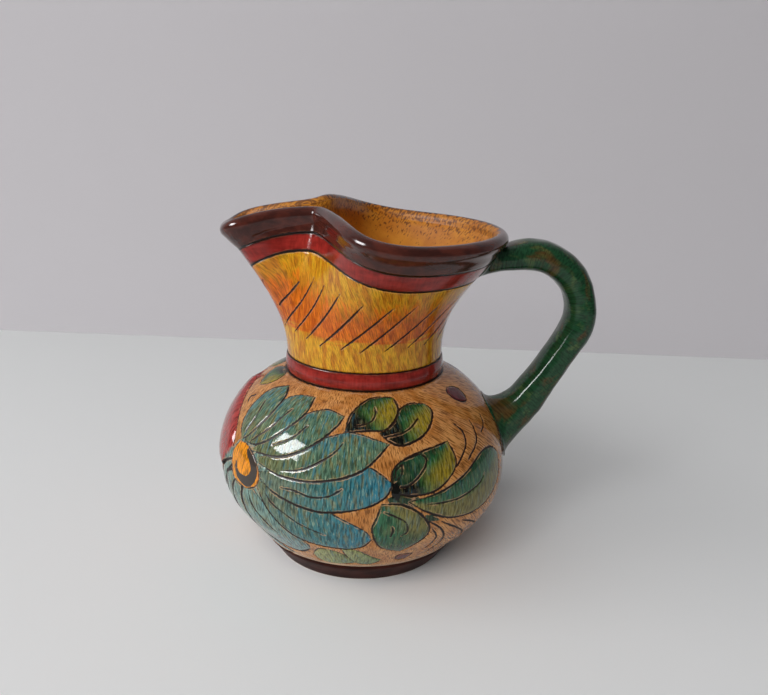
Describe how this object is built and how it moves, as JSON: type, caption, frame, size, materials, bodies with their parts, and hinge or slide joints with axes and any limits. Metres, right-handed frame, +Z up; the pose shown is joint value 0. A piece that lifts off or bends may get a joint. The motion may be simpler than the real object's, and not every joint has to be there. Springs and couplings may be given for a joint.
{
  "type": "pouring jug",
  "caption": "Glazed earthenware pouring jug with a round belly, flared neck, pinched spout, rolled rim and strap handle.",
  "frame": {"origin": "centre of the foot ring's underside, on the table", "axes": "+Z up along the jug's axis, -X towards the spout, +X towards the handle; the jug is mirrored about the XZ plane, apart from a pinch that was left a little lower on its near side"},
  "size_m": [0.1533, 0.12, 0.1482],
  "materials": {
    "dark_glaze": "glossy",
    "tan_glaze": "glossy",
    "red_glaze": "glossy",
    "yellow_glaze": "glossy",
    "green_glaze": "glossy",
    "amber_glaze": "glossy"
  },
  "bodies": {
    "root": {"foot_ring": "dark_glaze", "belly": "tan_glaze", "collar_band": "red_glaze", "neck": "yellow_glaze", "lip_band": "red_glaze", "rim": "dark_glaze", "handle": "green_glaze", "glaze_lining": "amber_glaze"}
  },
  "joints": []
}
